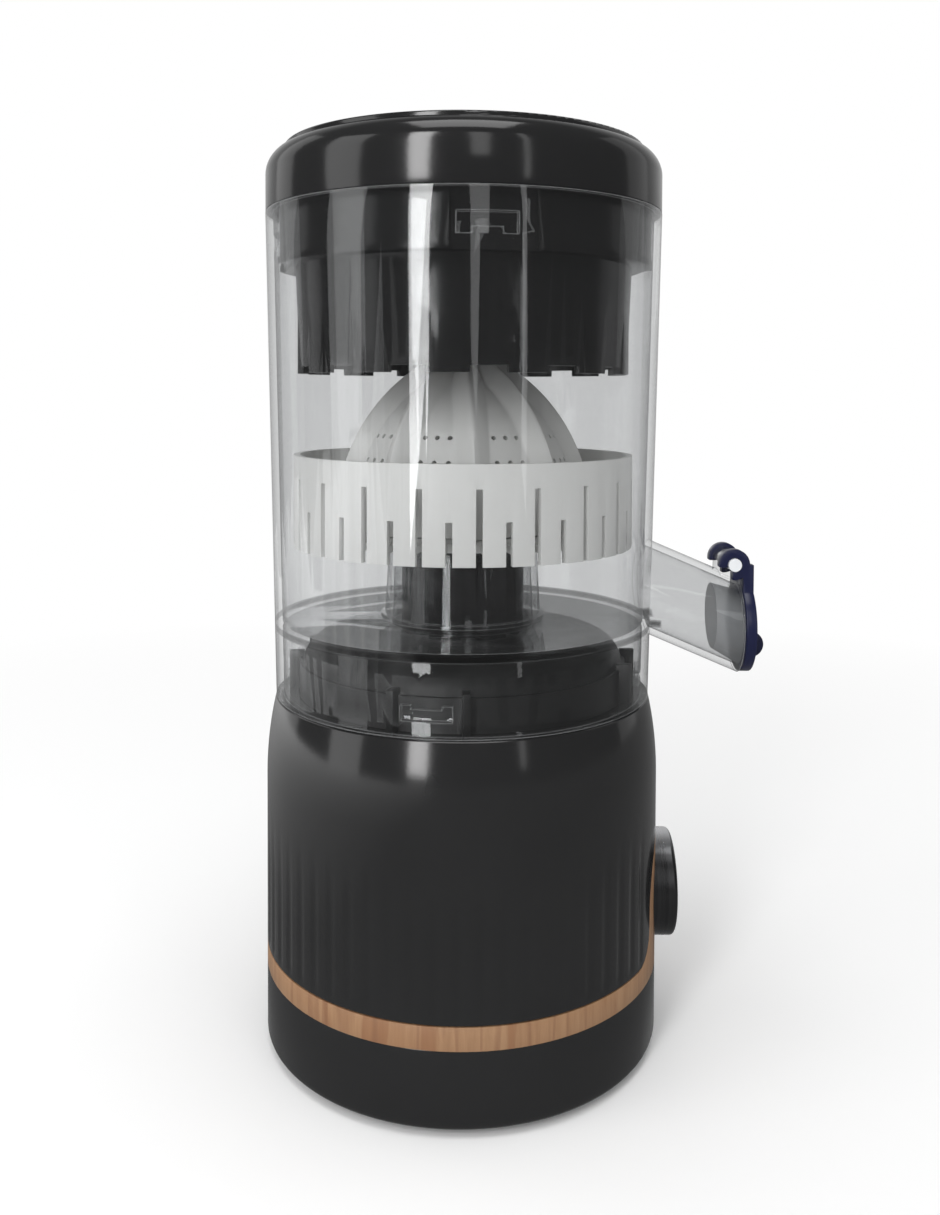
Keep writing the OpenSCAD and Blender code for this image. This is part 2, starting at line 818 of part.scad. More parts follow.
module housing_screws() {
    color("silver") for (a = housing_screw_angles)
        rotate([0, 0, a]) translate([housing_screw_r, 0, z_bowl + shell_wall + screw_head_h])
            screw(screw_r - 0.1, screw_head_r, bowl_h + 8, screw_head_h);
}

module deck_screws() {
    color("silver") for (a = deck_screw_angles)
        rotate([0, 0, a]) translate([deck_screw_r, 0, z_flange - shell_wall])
            screw(screw_r - 0.1, 1.9, shell_wall + 3.2, 1.4);
}

module gear_case_screws() {
    color("silver") for (a = case_screw_angles)
        rotate([0, 0, a]) translate([case_screw_l, 0, z_case_split - ear_h])
            screw(case_screw_r, case_screw_head_r, ear_h + case_wall + 8, 1.4);
}

module motor_screws() {
    color("silver") translate([motor_x, motor_y, z_case + case_wall])
        for (side = [-1, 1])
            rotate([0, 0, motor_angle]) translate([0, side * motor_screw_r, 0])
                mirror([0, 0, 1]) screw(case_screw_r, 1.9, case_wall + 4, 1);
}

// ---------------------------------------------------------------- power

module battery_cells() {
    color("#5f7f9c") for (y = cell_spots)
        translate([cell_x - cell_l / 2, y, cell_z]) rotate([0, 90, 0]) {
            cylinder(r = cell_r, h = cell_l);
            cylinder(r = 3, h = cell_l + 1);
        }
}

module battery_cradle() {
    color("#3c3e42") difference() {
        translate([cell_x - cell_l / 2 - cradle_wall - 1.2, cell_spots[0] - cell_r - cradle_wall, z_bowl + shell_wall])
            cube([
                cell_l + 2 * cradle_wall + 2.4,
                cell_spots[1] - cell_spots[0] + 2 * (cell_r + cradle_wall),
                cell_z - z_bowl - shell_wall
            ]);
        for (y = cell_spots)
            translate([cell_x - cell_l / 2 - 1.2, y, cell_z]) rotate([0, 90, 0])
                cylinder(r = cell_r, h = cell_l + 2.4);
    }
}

module control_board() {
    color("#2f6b46") translate([board_x, -board_w / 2, board_foot]) cube([board_t, board_w, board_h]);
}

module charge_socket() {
    color("silver") translate([0, 0, socket_z]) difference() {
        charge_slot(socket_shell, -board_x, -board_x + socket_l);
        charge_slot(0, -board_x + 1, far);
    }
}

// ---------------------------------------------------------------- button

module on_button_axis() {
    translate([0, 0, arch_z]) rotate([0, 90, 0]) children();
}

module button_cap() {
    color("#8d8f92") on_button_axis() {
        translate([0, 0, button_skirt_x]) rotate_extrude() difference() {
            l = button_face - button_skirt_x;
            union() {
                square([button_r, l - 1.2]);
                square([button_r - 1.2, l]);
                translate([button_r - 1.2, l - 1.2]) circle(r = 1.2);
                square([button_flange_r, 1.6]);
                translate([0, post_x - button_skirt_x]) square([post_r, l - 2]);
            }
            difference() {
                translate([0, -1]) square([button_r - 1.8, l + 1 - button_top_t]);
                translate([0, -2]) square([post_r, far]);
                translate([0, l - 5]) square([spring_r - 1, far]);
            }
        }
    }
}

module button_guide() {
    color("#34353a") on_button_axis() difference() {
        union() {
            translate([0, 0, guide_x]) cylinder(r = guide_in_r + guide_wall, h = liner_r - guide_x - 1.2);
            translate([0, 0, switch_x]) cylinder(r = rear_ring_r, h = guide_x + 1 - switch_x);
        }
        translate([0, 0, switch_x - 1]) cylinder(r = rear_ring_r - 3, h = guide_x + 1 - switch_x);
        translate([0, 0, switch_x]) cylinder(r = post_hole_r, h = far);
        translate([0, 0, spring_x]) cylinder(r = guide_in_r, h = button_skirt_x + 1.8 - spring_x);
        translate([0, 0, spring_x]) cylinder(r = button_r + slip, h = far);
    }
}

// The coil, close-wound as when the button is pressed, drawn as joined rings of wire
module button_spring() {
    turns = floor((spring_length - 2 * spring_wire_r) / spring_pitch);
    color("silver") on_button_axis() translate([0, 0, spring_x]) rotate_extrude($fn = 48)
        for (k = [0 : turns])
            translate([spring_r, spring_wire_r + k * spring_pitch]) circle(r = spring_wire_r);
}

module power_switch() {
    color("#222") on_button_axis() {
        translate([-3, -3, switch_x]) cube([6, 6, switch_h]);
        translate([0, 0, switch_x + switch_h]) cylinder(r = plunger_r, h = plunger_h);
    }
}

module switch_bracket() {
    color("#2f6b46") on_button_axis()
        translate([-14, -10, switch_x - board_t]) cube([28, 20, board_t]);
}

// ---------------------------------------------------------------- cup

module cup_section() {
    difference() {
        polygon([
            [0, z_cup],
            [cup_foot_r, z_cup],
            [cup_top_r, z_cup_rim],
            [0, z_cup_rim]
        ]);
        // room above the floor, round the tube
        polygon([
            [tube_collar_r, z_floor],
            [cup_in(z_floor), z_floor],
            [cup_in(z_cup_rim + 1), z_cup_rim + 1],
            [-1, z_cup_rim + 1],
            [-1, z_tube],
            [tube_top_r, z_tube],
            [tube_foot_r, z_floor + 1.2],
            [tube_collar_r, z_floor + 1.2]
        ]);
        // room below the floor
        polygon([
            [tube_foot_r - tube_wall, z_floor - cup_floor_t],
            [cup_in(z_floor - cup_floor_t), z_floor - cup_floor_t],
            [cup_in(z_cup - 1), z_cup - 1],
            [-1, z_cup - 1],
            [-1, z_tube + 1],
            [tube_top_r - tube_wall, z_tube + 1]
        ]);
    }
}

// Solid plug of the cup's inside, used to trim what is joined to its wall from outside
module cup_inside(low, high) {
    translate([0, 0, low]) cylinder(r1 = cup_in(low), r2 = cup_in(high), h = high - low);
}

module along_spout() {
    translate([cup_out(spout_z), 0, spout_z]) rotate([0, 90 + spout_slope, 0]) children();
}

module top_lug() {
    difference() {
        translate([0, 0, top_lug_z - lug_h / 2])
            ring_piece(cup_in(top_lug_z) + 1, cup_in(top_lug_z) - lug_proud, lug_h, lug_w / 2);
        translate([0, -lug_notch_w / 2, top_lug_z - lug_h / 2 - 1]) cube([far, lug_notch_w, lug_notch_h + 1]);
    }
}

module foot_lug() {
    difference() {
        translate([0, 0, foot_lug_z])
            ring_piece(cup_in(foot_lug_z) + 1, cup_in(foot_lug_z) - foot_lug_proud, foot_lug_h, foot_lug_w / 2);
        translate([0, -4.1, foot_lug_z + foot_lug_h - 1]) cube([far, 8.2, 2]);
    }
}

module juice_cup() {
    color("#d7dee2", 0.35) difference() {
        union() {
            rotate_extrude() cup_section();
            difference() {
                intersection() {
                    union() {
                        along_spout() translate([0, 0, -20]) cylinder(r = spout_r, h = 70);
                        translate([pin_x, lug_half_w, pin_z]) rotate([90, 0, 0])
                            cylinder(r = pin_r + 1.6, h = 2 * lug_half_w);
                        translate([pin_x - pin_r - 1.6, -lug_half_w, pin_z - 6])
                            cube([2 * pin_r + 2.6, 2 * lug_half_w, 6]);
                    }
                    translate([0, -50, 0]) cube([mouth_x, 100, far]);
                }
                cup_inside(z_cup, z_cup_rim);
            }
            around(4, top_lug_angle) top_lug();
            around(4, foot_lug_angle) foot_lug();
        }
        difference() {
            along_spout() translate([0, 0, -20]) cylinder(r = spout_bore_r, h = 70);
            translate([0, 0, z_cup]) cylinder(r1 = cup_foot_r, r2 = cup_out(z_floor), h = z_floor - z_cup);
        }
        translate([pin_x, 30, pin_z]) rotate([90, 0, 0]) cylinder(r = pin_r, h = 60);
    }
}

module flap_pin() {
    color("#e9edf0") translate([pin_x, pin_half_l, pin_z]) rotate([90, 0, 0])
        cylinder(r = pin_r, h = 2 * pin_half_l);
}

module spout_flap() {
    color("#16204a") difference() {
        union() {
            translate([flap_x, 0, 0]) rotate([90, 0, 90]) linear_extrude(height = flap_t) {
                translate([0, mouth_z]) circle(r = flap_r);
                translate([-hook_y - hook_t, mouth_z]) square([2 * (hook_y + hook_t), pin_z - mouth_z]);
            }
            for (side = [-1, 1])
                translate([pin_x, side * (hook_y + hook_t / 2) + hook_t / 2, pin_z]) rotate([90, 0, 0])
                    cylinder(r = hook_r, h = hook_t);
            translate([flap_x + flap_t, pull_half_l, mouth_z - 5]) rotate([90, 0, 0])
                cylinder(r = pull_r, h = 2 * pull_half_l);
        }
        translate([pin_x, 30, pin_z]) rotate([90, 0, 0]) cylinder(r = hook_bore_r, h = 60);
        translate([flap_x - 10, -hook_y, mouth_z + flap_r]) cube([10 + flap_t + 6, 2 * hook_y, far]);
        translate([pin_x - 20, -far / 2, pin_z - 20 - pin_r * 0.4]) cube([20 - 0.6, far, 20]);
        translate([mouth_x - pull_r - 10, -pull_half_l - 1, mouth_z - 10])
            cube([10 + pull_r + 0.3, 2 * pull_half_l + 2, 10]);
    }
}

// The plug tapers inwards and is hollowed on top about the pin, so that it clears the mouth as it swings
module flap_plug() {
    color("#b9c0c4", 0.7) difference() {
        intersection() {
            translate([flap_x - plug_l, -20, mouth_z - 20]) cube([plug_l, 40, 40]);
            along_spout() translate([0, 0, plug_from])
                cylinder(r1 = plug_small_r, r2 = plug_large_r, h = plug_to - plug_from);
        }
        translate([pin_x, 20, pin_z]) rotate([90, 0, 0]) cylinder(r = plug_relief_r, h = 40);
    }
}

// ---------------------------------------------------------------- strainer and reamer

module strainer_section() {
    difference() {
        translate([0, z_strainer]) square([strainer_r, strainer_h]);
        translate([-1, z_strainer_floor + strainer_floor_t]) square([strainer_in_r + 1, far]);
        translate([tube_top_r + slip + 2, z_strainer - 1])
            square([strainer_in_r - tube_top_r - slip - 2, z_strainer_floor - z_strainer + 1]);
        translate([-1, z_strainer - 1]) square([tube_top_r + slip + 1, z_strainer_floor - z_strainer + 1]);
        square([strainer_hole_r, far]);
    }
}

module strainer_basket() {
    color("#d4d5d3") difference() {
        rotate_extrude() strainer_section();
        for (k = [0 : slot_count - 1])
            rotate([0, 0, slot_phase + k * 360 / slot_count])
                translate([strainer_r - slot_reach, -slot_w / 2, z_strainer - 1])
                    cube([slot_reach + 1, slot_w, 1 + (k % 2 == 0 ? tall_slot_h : short_slot_h)]);
    }
}

module ogive(r) {
    intersection() {
        translate([reamer_arc_x, reamer_arc_z]) circle(r = r, $fn = 180);
        translate([0, reamer_z]) square([reamer_r, far]);
    }
}

// One rib: a slice of the outer dome, rooted in the core and stopped short of the tip
module rib() {
    rotate([0, 0, -rib_angle / 2]) rotate_extrude(angle = rib_angle) difference() {
        ogive(reamer_arc_r);
        ogive(core_arc_r - 1);
        square([rib_start_r, far]);
    }
}

module reamer_cone() {
    color("#e4e5e3") difference() {
        union() {
            difference() {
                union() {
                    rotate_extrude() ogive(core_arc_r);
                    around(rib_count, rib_phase) rib();
                    translate([0, 0, tip_z]) rotate_extrude() intersection() {
                        circle(r = tip_r);
                        translate([0, -tip_r]) square([tip_r, 2 * tip_r]);
                    }
                }
                rotate_extrude() ogive(core_arc_r - reamer_wall);
            }
            translate([0, 0, socket_foot]) cylinder(r = socket_out_r, h = socket_top + 2 - socket_foot);
            intersection() {
                rotate_extrude() ogive(core_arc_r - 1);
                around(2, 45) translate([-reamer_r, -web_t / 2, reamer_z + 1]) cube([2 * reamer_r, web_t, far]);
            }
        }
        difference() {
            translate([0, 0, socket_foot - 1]) cylinder(r = socket_in_r, h = socket_top - socket_foot + 1);
            around(spline_count, 6)
                translate([hub_neck_r + 0.7, 0, socket_foot - 2]) cylinder(r = spline_r - slip, h = far, $fn = 48);
        }
    }
}

// ---------------------------------------------------------------- lid

module lid_section() {
    difference() {
        union() {
            translate([0, z_lid]) square([lid_r, lid_h - lid_edge_r]);
            translate([0, z_lid]) square([lid_r - lid_edge_r, lid_h]);
            translate([lid_r - lid_edge_r, z_lid_top - lid_edge_r]) circle(r = lid_edge_r);
            translate([0, z_lid_top - 1]) square([disc_r - disc_h * 0.6, 1 + disc_h]);
            translate([0, z_lid_top - 1]) square([disc_r, 1 + disc_h * 0.4]);
            translate([disc_r - disc_h * 0.6, z_lid_top + disc_h * 0.4]) circle(r = disc_h * 0.6);
        }
        union() {
            translate([0, z_lid - 1]) square([skirt_r + 0.1, 1 + lid_h - lid_edge_r]);
            translate([0, z_lid - 1]) square([lid_r - lid_edge_r, 1 + lid_h - shell_wall]);
            translate([lid_r - lid_edge_r, z_lid_top - lid_edge_r]) circle(r = lid_edge_r - shell_wall);
        }
    }
}

module lid_cap() {
    color("#333436") rotate_extrude() lid_section();
}

module press_section() {
    difference() {
        union() {
            polygon([
                [0, press_z],
                [press_foot_r, press_z],
                [press_top_r, press_flange_z],
                [0, press_flange_z]
            ]);
            translate([0, press_flange_z]) square([skirt_r + 0.3, press_flange_t]);
            translate([0, press_flange_z]) square([skirt_r, skirt_top - press_flange_z]);
        }
        polygon([
            [-1, press_z - 1],
            [press_foot_r - press_wall, press_z - 1],
            [press_top_r - press_wall, press_flange_z],
            [press_top_r - press_wall, crown_z],
            [-1, crown_z]
        ]);
        translate([0, crown_z + crown_t]) square([skirt_r - skirt_t, far]);
    }
}

module press_cup() {
    tooth_gap = 360 / tooth_count - tooth_duty;
    color("#2c2d2f") difference() {
        union() {
            rotate_extrude() press_section();
            intersection() {
                around(tooth_count, gap_phase + 180 / tooth_count)
                    translate([press_foot_r - 1, 0, press_z]) {
                        translate([0, -4.2, 0]) cube([4, 8.4, pad_h]);
                        translate([0, 0, pad_h]) rotate([0, 90, 0]) cylinder(r = 4.2, h = 4);
                    }
                translate([0, 0, press_z]) cylinder(r = press_foot_r + pad_proud, h = pad_h + 10);
            }
        }
        around(tooth_count, gap_phase)
            translate([press_foot_r - 6, -press_foot_r * sin(tooth_gap / 2), press_z - 1])
                cube([12, 2 * press_foot_r * sin(tooth_gap / 2), 1 + tooth_h]);
        around(4, top_lug_angle + 1.8)
            translate([skirt_r - channel_depth, -11.3, press_flange_z - 1]) cube([10, 22.6, 17]);
    }
}

base_housing();
base_bowl();
wood_trim();
foot_ring();
drive_deck();
shaft_seal();
gear_case_lower();
gear_case_upper();
motor_can();
motor_pinion();
idler_pin();
idler_gear();
output_gear();
output_shaft();
shaft_bushes();
drive_hub();
hub_screw();
battery_cells();
battery_cradle();
control_board();
charge_socket();
button_cap();
button_guide();
button_spring();
power_switch();
switch_bracket();
housing_screws();
deck_screws();
gear_case_screws();
motor_screws();
juice_cup();
flap_pin();
spout_flap();
flap_plug();
strainer_basket();
reamer_cone();
lid_cap();
press_cup();
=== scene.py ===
# %% [markdown]
# # Dressing a cordless citrus press juicer
# The juicer has a drum-shaped base with a motor and a band of wood, a clear cup that lifts off it, a
# strainer with a turning reamer, and a lid that pushes half a fruit down. The solids come ready made and in
# their true place. Here they get their finishes, their softened edges and the fine shapes that an
# engineer's solid leaves out.

import json
import math

import bmesh
import bpy
from mathutils import Matrix, Vector

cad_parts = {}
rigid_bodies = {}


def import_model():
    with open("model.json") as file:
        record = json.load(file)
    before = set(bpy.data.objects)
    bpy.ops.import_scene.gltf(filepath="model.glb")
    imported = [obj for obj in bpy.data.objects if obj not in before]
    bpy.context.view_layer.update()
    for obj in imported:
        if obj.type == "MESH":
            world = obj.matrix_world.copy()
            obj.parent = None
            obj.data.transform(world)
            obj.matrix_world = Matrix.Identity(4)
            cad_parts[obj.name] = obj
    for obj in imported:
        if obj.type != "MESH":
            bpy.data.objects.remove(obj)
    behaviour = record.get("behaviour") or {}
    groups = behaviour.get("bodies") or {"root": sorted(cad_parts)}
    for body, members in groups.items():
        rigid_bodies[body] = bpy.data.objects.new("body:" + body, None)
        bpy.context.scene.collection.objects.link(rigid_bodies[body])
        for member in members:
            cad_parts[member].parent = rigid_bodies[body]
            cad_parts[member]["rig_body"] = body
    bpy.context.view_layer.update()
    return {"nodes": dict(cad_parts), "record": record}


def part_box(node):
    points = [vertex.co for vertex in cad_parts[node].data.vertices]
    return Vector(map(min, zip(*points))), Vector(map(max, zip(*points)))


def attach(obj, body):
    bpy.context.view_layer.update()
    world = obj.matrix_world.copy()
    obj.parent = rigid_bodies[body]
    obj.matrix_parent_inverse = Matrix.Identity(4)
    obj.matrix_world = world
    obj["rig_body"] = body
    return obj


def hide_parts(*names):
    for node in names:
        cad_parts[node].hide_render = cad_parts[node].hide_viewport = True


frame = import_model()
node_of = frame["nodes"]

# %% [markdown]
# ## Shader maths in plain Python
# A material is a small graph of nodes. Written out link by link it is hard to read, so two small classes
# help. Value wraps one output and turns + - * / and ** into Math nodes. Finish owns the graph, and its
# method node adds any node: the kind, its settings, and what goes into its sockets.


# %% Value and Finish
class Value:
    """One output of a shader node, so that an expression on it adds its Math nodes."""

    def __init__(self, finish, socket):
        self.finish, self.socket = finish, socket

    def also(self, name):
        """Another output of the same node."""
        return Value(self.finish, self.socket.node.outputs[name])

    def math(self, operation, *operands):
        return self.finish.node("Math", {"operation": operation}, dict(enumerate(operands)))

    def __add__(self, other):
        return self.math("ADD", self, other)

    def __sub__(self, other):
        return self.math("SUBTRACT", self, other)

    def __rsub__(self, other):
        return self.math("SUBTRACT", other, self)

    def __mul__(self, other):
        return self.math("MULTIPLY", self, other)

    def __truediv__(self, other):
        return self.math("DIVIDE", self, other)

    def __pow__(self, other):
        return self.math("POWER", self, other)

    __radd__, __rmul__ = __add__, __mul__


class Finish:
    """A material that is being made. Every node in it is added by the one method node."""

    def __init__(self, name):
        self.material = bpy.data.materials.new(name)
        self.material.use_nodes = True
        self.tree = self.material.node_tree
        self.tree.nodes.clear()

    def node(self, kind, settings=None, sockets=None, out=0):
        made = self.tree.nodes.new("ShaderNode" + kind)
        for key, value in (settings or {}).items():
            if key == "stops":
                for end, (position, colour) in zip(made.color_ramp.elements, value):
                    end.position, end.color = position, colour
            else:
                setattr(made, key, value)
        for key, value in (sockets or {}).items():
            if isinstance(value, Value):
                self.tree.links.new(value.socket, made.inputs[key])
            else:
                made.inputs[key].default_value = value
        return Value(self, made.outputs[out]) if len(made.outputs) else None

    def close(self, surface):
        self.node("OutputMaterial", None, {"Surface": surface})
        return self.material


print("ready to make finishes")


# %% [markdown]
# ## Patterns that every finish uses
# Each pattern reads Object coordinates, in metres, so its scale is the real one: a scale of 100 repeats
# about every 10 mm. Noise gives the unevenness that moulded plastic, rubber and metal have.


# %% Noise, mixes and bumps
def place(finish, stretch=(1, 1, 1)):
    coordinates = finish.node("TexCoord", out="Object")
    return finish.node("Mapping", None, {"Vector": coordinates, "Scale": stretch})


def noise(finish, scale, detail=2.0, stretch=(1, 1, 1), roughness=0.5):
    sockets = {"Vector": place(finish, stretch), "Scale": scale, "Detail": detail, "Roughness": roughness}
    return finish.node("TexNoise", None, sockets)


def between(finish, factor, colour_a, colour_b):
    return mixed(finish, factor, (*colour_a, 1), colour_b)


def mixed(finish, factor, below, colour):
    return finish.node("Mix", {"data_type": "RGBA"}, {0: factor, 6: below, 7: (*colour, 1)}, out=2)


def bumped(finish, height, depth):
    return finish.node("Bump", None, {"Height": height, "Distance": depth, "Strength": 1.0})


print("patterns: noise, two-colour mixes and bumps")


# %% [markdown]
# ## Moulded plastic, rubber and metal
# Moulded plastic is never perfectly even. Its colour drifts slightly, its gloss changes where it has been
# touched, and a fine skin from the mould breaks up the edges of reflections. One function makes all of
# them, from matt rubber to polished metal, with its numbers set for each piece.


# %% One function for the solid finishes
def moulded(name, colour, roughness, drift=0.12, skin=0.00001, skin_scale=900, metallic=0.0):
    finish = Finish(name)
    patches = 0.05
    darker = [channel * (1 - drift) for channel in colour]
    lighter = [min(1, channel * (1 + drift)) for channel in colour]
    sockets = {
        "Base Color": between(finish, noise(finish, 45, 3), darker, lighter),
        "Roughness": roughness - patches / 2 + noise(finish, 120, 4) * patches,
        "Normal": bumped(finish, noise(finish, skin_scale, 2), skin),
        "Metallic": metallic,
    }
    return finish.close(finish.node("BsdfPrincipled", None, sockets))


finishes = {
    "charcoal_shell": moulded("charcoal plastic", (0.013, 0.0131, 0.0134), 0.13, skin=0.000006),
    "lid_shell": moulded("polished charcoal plastic", (0.012, 0.0121, 0.0124), 0.13, skin=0.000004),
    "press_black": moulded("glossy dark plastic", (0.012, 0.012, 0.0122), 0.17, skin=0.000006),
    "hub_black": moulded("glossy black plastic", (0.006, 0.006, 0.0061), 0.13, skin=0.000005),
    "white_plastic": moulded("white plastic", (0.74, 0.74, 0.725), 0.38, drift=0.03, skin=0.000012),
    "navy_plastic": moulded("glossy navy plastic", (0.005, 0.0075, 0.038), 0.3, skin=0.000006),
    "foot_rubber": moulded("black rubber", (0.02, 0.02, 0.02), 0.75, skin=0.00003, skin_scale=1500),
    "seal_rubber": moulded("seal rubber", (0.03, 0.03, 0.031), 0.65, skin=0.00002, skin_scale=1500),
    "case_plastic": moulded("matt dark plastic", (0.05, 0.051, 0.055), 0.5, skin=0.00002, skin_scale=1500),
    "gear_nylon": moulded("natural nylon", (0.72, 0.68, 0.58), 0.42, drift=0.04),
    "cell_wrap": moulded("shrink wrap", (0.03, 0.1, 0.22), 0.25),
    "board_green": moulded("solder mask", (0.012, 0.09, 0.035), 0.35),
    "steel": moulded("plain steel", (0.55, 0.55, 0.56), 0.3, skin=0.000006, metallic=1.0),
    "brass": moulded("turned brass", (0.62, 0.45, 0.2), 0.3, metallic=1.0),
}
print("solid finishes:", len(finishes))

# %% [markdown]
# ## Turned metal
# The face of the button is turned on a lathe, so fine grooves run round its axis. Noise that is stretched
# round the axis gives them: the radius from the button's axis changes fast, and the angle hardly matters. The
# rim is painted brighter at its top and bottom, as if it caught the light from above and off the table.


# %% The button's metal
def turned_metal(name, axis_z, rim_r):
    finish = Finish(name)
    groove_scale, depth_scale = 1600, 500
    only_rim, band_start, band_rise = 30, 0.584, 3.97
    along_x = finish.node("SeparateXYZ", None, {0: place(finish)})
    along_y = along_x.also("Y")
    along_z = along_x.also("Z") - axis_z
    radius = (along_y * along_y + along_z * along_z) ** 0.5
    rings = finish.node("CombineXYZ", None, {0: radius * groove_scale, 1: along_x * depth_scale})
    grooves = finish.node("TexNoise", None, {"Vector": rings, "Scale": 1.0, "Detail": 3.0})
    bands = along_z * along_z * (radius / rim_r) ** only_rim / (rim_r * rim_r) - band_start
    tone = between(finish, grooves, (0.05, 0.0505, 0.052), (0.12, 0.1205, 0.124))
    sockets = {
        "Base Color": mixed(finish, bands * band_rise, tone, (0.62, 0.625, 0.64)),
        "Roughness": 0.2 + grooves * 0.16,
        "Normal": bumped(finish, grooves, 0.00001),
        "Metallic": 1.0,
    }
    return finish.close(finish.node("BsdfPrincipled", None, sockets))


button_low, button_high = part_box("button_cap")
button_axis_z = (button_low.z + button_high.z) / 2
# Radius of the round face in metres. The box is wider, because it takes in the skirt behind the face
button_r = 0.01515
finishes["button_metal"] = turned_metal("turned metal", button_axis_z, button_r)
print("button axis at", round(button_axis_z, 4), "and radius of its face", button_r)

# %% [markdown]
# ## Wood
# The band is a strip of pale hardwood with its grain standing upright. Four layers make it: broad changes
# of tone, narrow upright fibres, a few darker streaks, and thin veins. The noise is squeezed in height,
# which draws it out into upright lines on every side of the round band. A vein lies wherever a broad noise
# crosses its middle value, which makes a line that is thin but long. A thin clear lacquer lies over it all.


# %% The wood finish
def wood(name):
    finish = Finish(name)
    upright, streak_stretch, vein_stretch = (1, 1, 0.07), (1, 1, 0.11), (1, 1, 0.06)
    vein_thinness, vein_strength, streak_strength = 30, 0.5, 0.6
    tone = noise(finish, 38, 3, upright)
    fibres = noise(finish, 620, 6, upright, 0.65)
    black, white = (0, 0, 0, 1), (1, 1, 1, 1)
    streaks = finish.node("ValToRGB", {"stops": [(0.56, black), (0.6, white)]},
                          {"Fac": noise(finish, 150, 4, streak_stretch)})
    ground = between(finish, tone, (0.29, 0.15, 0.07), (0.42, 0.27, 0.15))
    fibrous = finish.node("Mix", {"data_type": "RGBA", "blend_type": "MULTIPLY"},
                          {0: fibres, 6: ground, 7: (0.55, 0.45, 0.38, 1)}, out=2)
    streaked = mixed(finish, streaks * streak_strength, fibrous, (0.2, 0.085, 0.035))
    vein = (noise(finish, 105, 2, vein_stretch) - 0.5) * vein_thinness
    in_vein = vein_strength - vein * vein * vein_strength
    sockets = {
        "Base Color": mixed(finish, in_vein, streaked, (0.17, 0.075, 0.035)),
        "Roughness": 0.42 + fibres * 0.16,
        "Normal": bumped(finish, fibres, 0.00004),
        "Coat Weight": 0.1,
        "Coat Roughness": 0.2,
    }
    return finish.close(finish.node("BsdfPrincipled", None, sockets))


finishes["wood_trim"] = wood("lacquered wood")
print("wood: four layers under a lacquer")

# %% [markdown]
# ## Clear plastic
# Clear moulded plastic does two things: it lets most of the light straight through, a little darker each
# time, and it mirrors more and more of the room as the surface turns away. Transparent shaders do the
# first: seen along the wall the light has more plastic to cross, so a darker one takes over there. A mirror
# does the second, and the facing ratio to the fifth power, which is Schlick's rule, says how much of it
# shows.
#
# These shaders don't bend light, so two marks of bent light are painted into the finish. The cup's floor is
# seen edge-on through the wall, where the light has the whole floor to cross, so the wall is painted darker
# at that level, as a painted dark line. And a moulded edge bends light into a bright line: the Bevel node
# turns its normal near an edge, and where that differs from the surface's own normal, a pale grey matt finish
# paints the edge as a line, a painted highlight.


# %% The clear finish
# The cup's floor in metres: its middle height, half its thickness, and the outside of the wall there
cup_floor = {"level": 0.1208, "half": 0.0012, "wall_r": 0.0576}


def clear(name, tint, roughness):
    finish = Finish(name)
    least_mirror, more_mirror, mirror_power = 0.045, 0.6, 5
    along_tint, along_power = 0.32, 7
    painted_floor_shade, floor_end, floor_cut = 0.8, 1.04, 30
    outline_width, outline_strength = 0.0007, 2.2
    facing = finish.node("LayerWeight", None, {"Blend": 0.5}, out="Facing")
    polish = {
        "Base Color": (0.94, 0.95, 0.955, 1),
        "Metallic": 1.0,
        "Roughness": roughness + noise(finish, 260, 5) * roughness,
    }
    mirror = finish.node("BsdfPrincipled", None, polish)
    straight = finish.node("BsdfTransparent", None, {"Color": (*tint, 1)})
    along = finish.node("BsdfTransparent", None, {"Color": (*[channel * along_tint for channel in tint], 1)})
    turned = finish.node("MixShader", None, {0: facing ** along_power, 1: straight, 2: along})
    along_x = finish.node("SeparateXYZ", None, {0: place(finish)})
    along_y = along_x.also("Y")
    level = (along_x.also("Z") - cup_floor["level"]) / cup_floor["half"]
    reach = (along_x * along_x + along_y * along_y) / cup_floor["wall_r"] ** 2
    # Painted shade: the wall is made darker in a band at the floor's level, a painted dark line for light
    # bent by the floor
    at_floor = painted_floor_shade - level ** 4
    on_wall = (floor_end - reach) * floor_cut
    painted_floor_line = finish.node("Math", {"operation": "MINIMUM"}, {0: at_floor, 1: on_wall})
    through = finish.node("MixShader", None, {0: painted_floor_line, 1: turned, 2: along})
    mirrored = least_mirror + facing ** mirror_power * more_mirror
    body = finish.node("MixShader", None, {0: mirrored, 1: through, 2: mirror})
    # Painted highlight: a pale grey matt finish draws each moulded edge as a light line, in place of light
    # bent at the edge
    rounded = finish.node("Bevel", {"samples": 6}, {"Radius": outline_width})
    own = finish.node("NewGeometry", out="Normal")
    alike = finish.node("VectorMath", {"operation": "DOT_PRODUCT"}, {0: rounded, 1: own}, out="Value")
    frosted = finish.node("BsdfPrincipled", None, {"Base Color": (0.4, 0.405, 0.41, 1), "Roughness": 0.35})
    painted_edge_highlight = (1 - alike) * outline_strength
    return finish.close(finish.node("MixShader", None, {0: painted_edge_highlight, 1: body, 2: frosted}))


# %% Cloudy finishes, and the list of all
def cloudy(name, colour, see_through, roughness):
    finish = Finish(name)
    sockets = {
        "Base Color": between(finish, noise(finish, 90, 3), [c * 0.93 for c in colour], colour),
        "Roughness": roughness + noise(finish, 300, 3) * 0.1,
        "Alpha": 1 - see_through + noise(finish, 150, 2) * 0.06,
        "Normal": bumped(finish, noise(finish, 1200, 2), 0.00001),
    }
    return finish.close(finish.node("BsdfPrincipled", None, sockets))


finishes["clear_cup"] = clear("clear plastic", (0.885, 0.888, 0.89), 0.03)
finishes["grey_silicone"] = cloudy("grey silicone", (0.36, 0.37, 0.38), 0.4, 0.35)
finishes["frosted_pin"] = cloudy("frosted plastic pin", (0.8, 0.82, 0.84), 0.2, 0.35)
print("finishes:", sorted(finishes))

